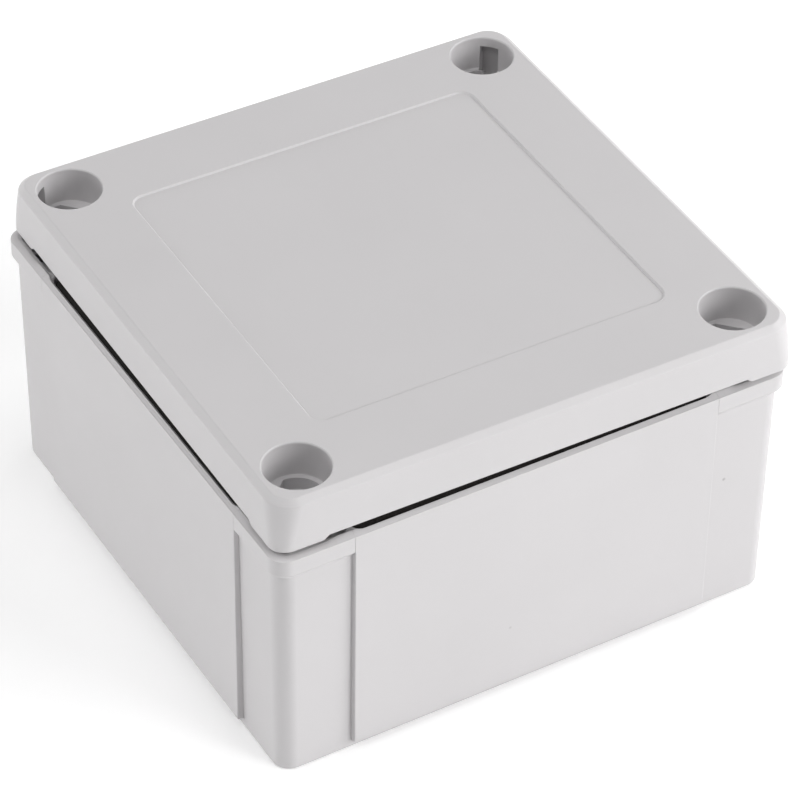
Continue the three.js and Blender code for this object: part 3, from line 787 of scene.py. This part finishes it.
def noise(nodes, links, where, scale, detail):
    """Output of a noise texture."""
    texture = nodes.new("ShaderNodeTexNoise")
    texture.inputs["Scale"].default_value = scale
    texture.inputs["Detail"].default_value = detail
    links.new(where, texture.inputs["Vector"])
    return texture.outputs["Fac"]


def ramp(nodes, links, value, low, high, span=(0.0, 1.0)):
    """Colour that goes from low to high over a span of a value."""
    tone = nodes.new("ShaderNodeValToRGB")
    for element, position, color in zip(tone.color_ramp.elements, span, (low, high)):
        element.position = position
        element.color = [*color, 1]
    links.new(value, tone.inputs["Fac"])
    return tone.outputs["Color"]


def vary_roughness(nodes, links, shader, value, low, high):
    rough = nodes.new("ShaderNodeMapRange")
    rough.inputs["To Min"].default_value = low
    rough.inputs["To Max"].default_value = high
    links.new(value, rough.inputs["Value"])
    links.new(rough.outputs["Result"], shader.inputs["Roughness"])


def add_bump(nodes, links, shader, height, strength, depth):
    bump = nodes.new("ShaderNodeBump")
    bump.inputs["Strength"].default_value = strength
    bump.inputs["Distance"].default_value = depth * MM
    links.new(height, bump.inputs["Height"])
    links.new(bump.outputs["Normal"], shader.inputs["Normal"])


def plastic(name, color, roughness=0.5, mottle=0.03, specks=0.0):
    """Moulded plastic: spark-eroded grain, faint cloudy variation and, if asked, small dark specks."""
    material, nodes, links, shader = new_material(name)
    where = nodes.new("ShaderNodeTexCoord").outputs["Object"]
    low, high = [c * (1 - mottle) for c in color], [min(1, c * (1 + mottle)) for c in color]
    result = ramp(nodes, links, noise(nodes, links, where, 28, 5), low, high, (0.3, 0.7))
    if specks:
        dots = nodes.new("ShaderNodeTexVoronoi")
        dots.inputs["Scale"].default_value = 160
        links.new(where, dots.inputs["Vector"])
        size = nodes.new("ShaderNodeMapRange")
        size.inputs["From Min"].default_value = 0.03
        size.inputs["From Max"].default_value = 0.09
        size.inputs["To Min"].default_value = 1
        size.inputs["To Max"].default_value = 0
        links.new(dots.outputs["Distance"], size.inputs["Value"])
        pick = nodes.new("ShaderNodeMath")
        pick.operation = "GREATER_THAN"
        pick.inputs[1].default_value = 0.965
        channel = nodes.new("ShaderNodeSeparateColor")
        links.new(dots.outputs["Color"], channel.inputs["Color"])
        links.new(channel.outputs["Red"], pick.inputs[0])
        both = nodes.new("ShaderNodeMath")
        both.operation = "MULTIPLY"
        links.new(size.outputs["Result"], both.inputs[0])
        links.new(pick.outputs["Value"], both.inputs[1])
        amount = nodes.new("ShaderNodeMath")
        amount.operation = "MULTIPLY"
        amount.inputs[1].default_value = specks
        links.new(both.outputs["Value"], amount.inputs[0])
        mix = nodes.new("ShaderNodeMix")
        mix.data_type = "RGBA"
        mix.inputs["B"].default_value = [c * 0.45 for c in color] + [1]
        links.new(amount.outputs["Value"], mix.inputs["Factor"])
        links.new(result, mix.inputs["A"])
        result = mix.outputs["Result"]
    links.new(result, shader.inputs["Base Color"])

    patches = noise(nodes, links, where, 65, 6)
    vary_roughness(nodes, links, shader, patches, roughness - 0.06, roughness + 0.08)
    add_bump(nodes, links, shader, noise(nodes, links, where, 2600, 3), 0.25, 0.004)
    return material


def foam(name):
    """Black foamed rubber with small open cells."""
    material, nodes, links, shader = new_material(name)
    where = nodes.new("ShaderNodeTexCoord").outputs["Object"]
    cells = nodes.new("ShaderNodeTexVoronoi")
    cells.inputs["Scale"].default_value = 2200
    links.new(where, cells.inputs["Vector"])
    cell = cells.outputs["Distance"]
    tone = ramp(nodes, links, cell, (0.024, 0.022, 0.021), (0.046, 0.042, 0.04))
    links.new(tone, shader.inputs["Base Color"])
    shader.inputs["Roughness"].default_value = 0.95
    shader.inputs["Specular IOR Level"].default_value = 0.2
    add_bump(nodes, links, shader, cell, 0.7, 0.15)
    return material


def metal(name, color, roughness=0.3):
    """Plated or plain metal: fine drawn lines and faint stains."""
    material, nodes, links, shader = new_material(name)
    where = nodes.new("ShaderNodeTexCoord").outputs["Object"]
    shader.inputs["Metallic"].default_value = 1.0
    stretch = nodes.new("ShaderNodeMapping")
    stretch.inputs["Scale"].default_value = (60, 900, 900)
    links.new(where, stretch.inputs["Vector"])
    lines = noise(nodes, links, stretch.outputs["Vector"], 2, 4)
    vary_roughness(nodes, links, shader, lines, roughness - 0.1, roughness + 0.15)
    stains = noise(nodes, links, where, 180, 5)
    tone = ramp(nodes, links, stains, [c * 0.86 for c in color], color)
    links.new(tone, shader.inputs["Base Color"])
    add_bump(nodes, links, shader, lines, 0.2, 0.01)
    return material


def paint(obj, material):
    obj.data.materials.clear()
    obj.data.materials.append(material)


# ---- Camera ----
CAMERA_AZIMUTH = math.radians(-30.686)
CAMERA_ELEVATION = math.radians(40.366)
CAMERA_ROLL = math.radians(0.826)
CAMERA_DISTANCE = 934.06       # from the plane through the origin, along the view
CAMERA_ACROSS = 2.928          # of the optical axis from the origin
CAMERA_UP = 25.998
CAMERA_LENS = 177.87           # on a 36 mm sensor


def make_camera():
    a, e = CAMERA_AZIMUTH, CAMERA_ELEVATION
    back = Vector((math.sin(a) * math.cos(e), -math.cos(a) * math.cos(e), math.sin(e)))
    level = Vector((math.cos(a), math.sin(a), 0))
    upright = back.cross(level)
    right = level * math.cos(CAMERA_ROLL) + upright * math.sin(CAMERA_ROLL)
    up = upright * math.cos(CAMERA_ROLL) - level * math.sin(CAMERA_ROLL)
    eye = right * CAMERA_ACROSS + up * CAMERA_UP + back * CAMERA_DISTANCE
    data = bpy.data.cameras.new("camera")
    data.lens = CAMERA_LENS
    data.sensor_width = 36
    data.clip_start = 0.01
    data.clip_end = 20
    camera = bpy.data.objects.new("camera", data)
    rotation = Matrix((right, up, back)).transposed().to_4x4()
    camera.matrix_world = Matrix.Translation(eye * MM) @ rotation
    bpy.context.scene.collection.objects.link(camera)
    bpy.context.scene.camera = camera


# ---- Studio, in metres ----
SOFTBOX_SIZE = 0.6
SOFTBOX_DISTANCE = 1.6
SOFTBOX_AIM = Vector((0, 0, 0.04))
WORLD_STRENGTH = 0.145
FLOOR_GLOW = 0.15
FLOOR_HALF = 9000.0            # in millimetres, like every mesh
FLOOR_Z = -0.2
# (degrees round the object from the camera, towards the right; elevation; watts)
SOFTBOXES = [
    (60, 6, 2.1), (90, 6, 5.0), (180, 6, 3.0), (210, 6, 1.2), (240, 6, 4.0), (270, 6, 6.2),
    (60, 26, 8.9), (90, 26, 5.8), (120, 26, 2.5), (150, 26, 4.2),
    (0, 50, 0.9), (45, 50, 1.0), (270, 50, 4.2), (315, 50, 3.4), (0, 88, 5.0),
]


def area_light(azimuth, elevation, watts):
    data = bpy.data.lights.new("softbox", "AREA")
    data.shape = "SQUARE"
    data.size = SOFTBOX_SIZE
    data.energy = watts
    light = bpy.data.objects.new("softbox", data)
    around, rise = CAMERA_AZIMUTH + math.radians(azimuth), math.radians(elevation)
    away = Vector((math.sin(around) * math.cos(rise), -math.cos(around) * math.cos(rise), math.sin(rise)))
    light.location = away * SOFTBOX_DISTANCE + SOFTBOX_AIM
    light.rotation_mode = "QUATERNION"
    light.rotation_quaternion = (-away).to_track_quat("-Z", "Y")
    bpy.context.scene.collection.objects.link(light)


def make_studio():
    scene = bpy.context.scene
    scene.view_settings.view_transform = "Standard"
    world = bpy.data.worlds.new("studio")
    scene.world = world
    world.use_nodes = True
    background = world.node_tree.nodes["Background"]
    background.inputs["Color"].default_value = (1, 1, 1, 1)
    background.inputs["Strength"].default_value = WORLD_STRENGTH
    signs = ((-1, -1), (1, -1), (1, 1), (-1, 1))
    corners = [(sx * FLOOR_HALF, sy * FLOOR_HALF, FLOOR_Z) for sx, sy in signs]
    floor = add_object("floor", corners, [(0, 1, 2, 3)])
    material, _, _, shader = new_material("floor")
    shader.inputs["Base Color"].default_value = (0.95, 0.95, 0.95, 1)
    shader.inputs["Roughness"].default_value = 0.9
    shader.inputs["Emission Color"].default_value = (1, 1, 1, 1)
    shader.inputs["Emission Strength"].default_value = FLOOR_GLOW
    paint(floor, material)
    for azimuth, elevation, watts in SOFTBOXES:
        area_light(azimuth, elevation, watts)


make_camera()
make_studio()

# ---- Pieces ----
LOOKS = {
    "grey_plastic": plastic("grey_plastic", (0.566, 0.553, 0.56), 0.45, mottle=0.012, specks=0.6),
    "foam_rubber": foam("foam_rubber"),
    "plated_steel": metal("plated_steel", (0.72, 0.73, 0.75)),
    "spring_steel": metal("spring_steel", (0.55, 0.56, 0.57), 0.25),
    "tinned_copper": metal("tinned_copper", (0.78, 0.76, 0.71)),
    "terminal_grey": plastic("terminal_grey", (0.3, 0.31, 0.3)),
    "terminal_blue": plastic("terminal_blue", (0.03, 0.12, 0.38)),
    "terminal_green": plastic("terminal_green", (0.06, 0.25, 0.04)),
    "bracket_grey": plastic("bracket_grey", (0.18, 0.19, 0.18)),
}
SLOTS = {part["node"]: part["material_slot"] for part in frame["record"]["subparts"]}


def set_piece(piece, node, body="enclosure"):
    """Gives a piece its look and lets it stand for a node of the frame."""
    paint(piece, LOOKS[SLOTS[node]])
    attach(piece, body)
    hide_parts(node)


set_piece(make_base(), "enclosure_base")
set_piece(make_lid(), "lid", "lid_body")
set_piece(make_gasket(), "lid_gasket")
for corner_name, corner_signs in CORNERS.items():
    set_piece(make_lid_screw(corner_name, corner_signs), "lid_screw_" + corner_name, "screw_" + corner_name)
    set_piece(make_screw_pin(corner_name, corner_signs), "screw_pin_" + corner_name, "screw_" + corner_name)
set_piece(make_rail(), "din_rail")
set_piece(make_rail_screw("rail_screw_left", -RAIL_SCREW_X), "rail_screw_left")
set_piece(make_rail_screw("rail_screw_right", RAIL_SCREW_X), "rail_screw_right")
for terminal in ("line_1", "line_2", "line_3", "neutral", "earth"):
    set_piece(make_terminal(terminal), "terminal_" + terminal)
    set_piece(make_current_bar(terminal), "current_bar_" + terminal)
    for half_name, half_side in (("_front", -1), ("_back", 1)):
        set_piece(make_clamp_spring(terminal + half_name, half_side), "clamp_spring_" + terminal + half_name)
set_piece(make_end_cover(), "terminal_end_cover")
set_piece(make_end_bracket("left", -1), "end_bracket_left")
set_piece(make_end_bracket("right", 1), "end_bracket_right")
